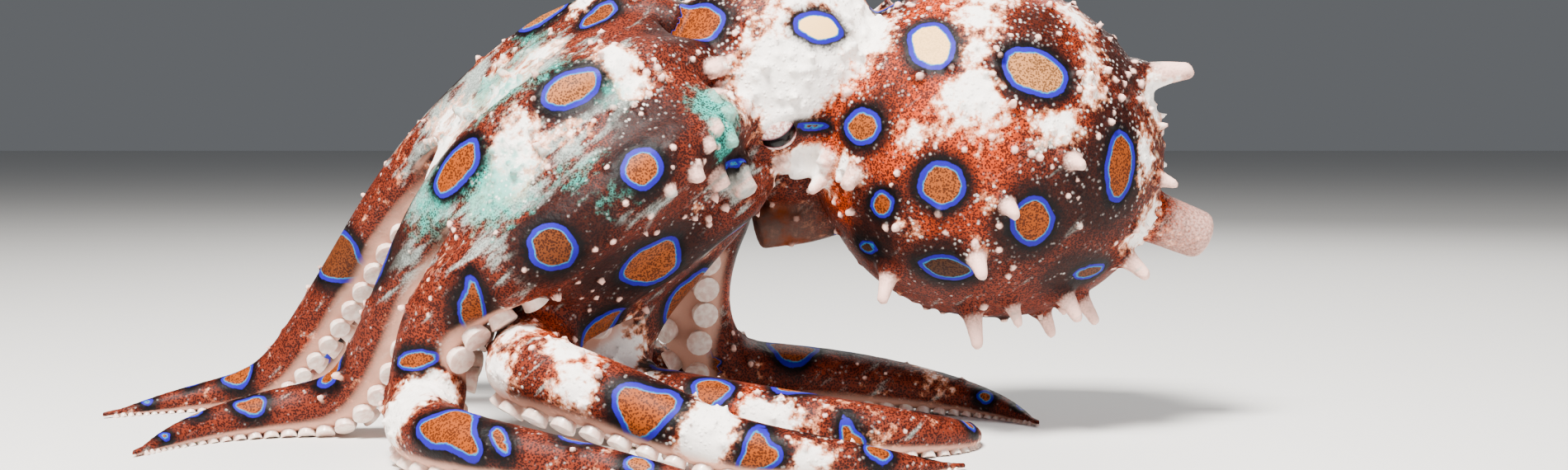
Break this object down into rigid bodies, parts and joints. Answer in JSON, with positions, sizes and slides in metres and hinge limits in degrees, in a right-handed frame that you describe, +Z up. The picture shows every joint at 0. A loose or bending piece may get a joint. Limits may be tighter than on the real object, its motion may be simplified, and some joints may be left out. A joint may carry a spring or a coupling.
{
  "type": "blue-ringed octopus model",
  "caption": "Life-size still model of a blue-ringed octopus standing on its bent arms, head low to one side and the round mantle held clear behind.",
  "frame": {"origin": "middle of the footprint at floor level, under the centre of the model's box", "axes": "+X from the arms to the tail of the mantle, +Y towards the animal's right side, +Z up"},
  "size_m": [0.142, 0.1046, 0.0575],
  "materials": {
    "mantle_skin": "satin, as painted resin",
    "head_skin": "satin, as painted resin",
    "arm_skin": "satin, as painted resin",
    "web_skin": "satin, as painted resin",
    "funnel_skin": "satin, as painted resin",
    "eye_wet": "gloss"
  },
  "bodies": {
    "root": {"mantle": "mantle_skin", "head": "head_skin", "eye_left": "eye_wet", "eye_right": "eye_wet", "funnel": "funnel_skin", "arm_left_1_base": "arm_skin", "arm_left_1_middle": "arm_skin", "arm_left_1_tip": "arm_skin", "arm_left_2_base": "arm_skin", "arm_left_2_middle": "arm_skin", "arm_left_2_tip": "arm_skin", "arm_left_3_base": "arm_skin", "arm_left_3_middle": "arm_skin", "arm_left_3_tip": "arm_skin", "arm_left_4_base": "arm_skin", "arm_left_4_middle": "arm_skin", "arm_left_4_tip": "arm_skin", "arm_right_1_base": "arm_skin", "arm_right_1_middle": "arm_skin", "arm_right_1_tip": "arm_skin", "arm_right_2_base": "arm_skin", "arm_right_2_middle": "arm_skin", "arm_right_2_tip": "arm_skin", "arm_right_3_base": "arm_skin", "arm_right_3_middle": "arm_skin", "arm_right_3_tip": "arm_skin", "arm_right_4_base": "arm_skin", "arm_right_4_middle": "arm_skin", "arm_right_4_tip": "arm_skin", "web_left_1_left_2": "web_skin", "web_left_2_left_3": "web_skin", "web_left_3_left_4": "web_skin", "web_left_4_right_4": "web_skin", "web_right_4_right_3": "web_skin", "web_right_3_right_2": "web_skin", "web_right_2_right_1": "web_skin", "web_right_1_left_1": "web_skin"}
  },
  "joints": []
}
